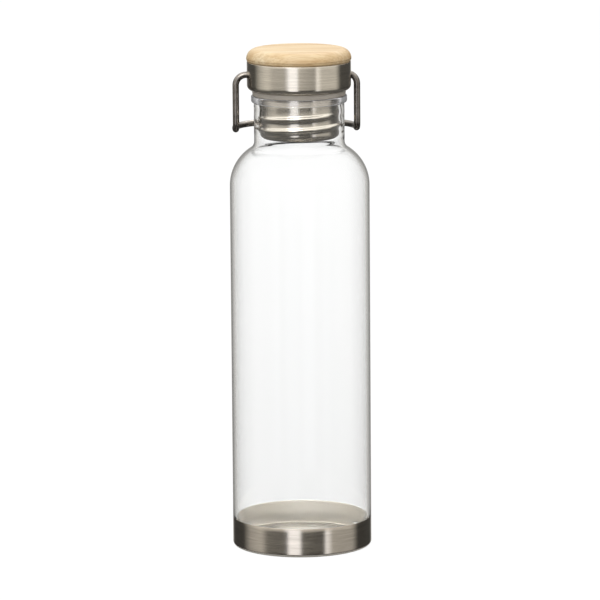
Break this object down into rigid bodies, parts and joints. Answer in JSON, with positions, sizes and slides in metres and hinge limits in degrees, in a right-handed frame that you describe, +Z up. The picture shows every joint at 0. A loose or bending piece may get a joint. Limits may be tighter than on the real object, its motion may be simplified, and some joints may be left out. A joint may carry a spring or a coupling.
{
  "type": "water bottle",
  "caption": "Clear glass water bottle with a steel foot cup and a screw lid: steel shell and threaded plug, silicone seal, bamboo top and a swinging wire bail.",
  "frame": {"origin": "centre of the flat foot that the bottle stands on", "axes": "+Z up the bottle's axis, X along the bail's pivot axis, +Y towards the back, where the bail hangs behind the neck"},
  "size_m": [0.073, 0.073, 0.2632],
  "materials": {
    "clear_glass": "polished",
    "brushed_steel": "fine brushing around the axis",
    "steel_wire": "drawn and tumbled, semi-bright",
    "bamboo": "sanded, clear matte oil",
    "silicone": "translucent, satin",
    "white_polypropylene": "moulded",
    "black_nylon": "moulded",
    "adhesive": "cured bead"
  },
  "bodies": {
    "bottle": {"glass_bottle": "clear_glass", "base_cup": "brushed_steel", "base_adhesive": "adhesive"},
    "seal": {"seal_ring": "silicone"},
    "lid": {"lid_shell": "brushed_steel", "lid_core": "white_polypropylene", "left_bush": "black_nylon", "right_bush": "black_nylon", "threaded_plug": "brushed_steel", "plug_liner": "white_polypropylene", "bamboo_top": "bamboo"},
    "bail": {"bail_handle": "steel_wire"}
  },
  "joints": [
    {"name": "lid_lift", "type": "slide", "parent": "bottle", "child": "seal", "axis": [0, 0, 1], "range_m": [0, 0.0241]},
    {"name": "lid_turn", "type": "hinge", "parent": "seal", "child": "lid", "pos_m": [0, 0, 0.2386], "axis": [0, 0, 1], "range_deg": [0, 1440]},
    {"name": "bail_swing", "type": "hinge", "parent": "lid", "child": "bail", "pos_m": [0, 0, 0.2495], "axis": [1, 0, 0], "range_deg": [-7, 274]}
  ],
  "couplings": [
    {"joint": "lid_lift", "follows": "lid_turn", "m_per_rad": 0.00095493}
  ]
}
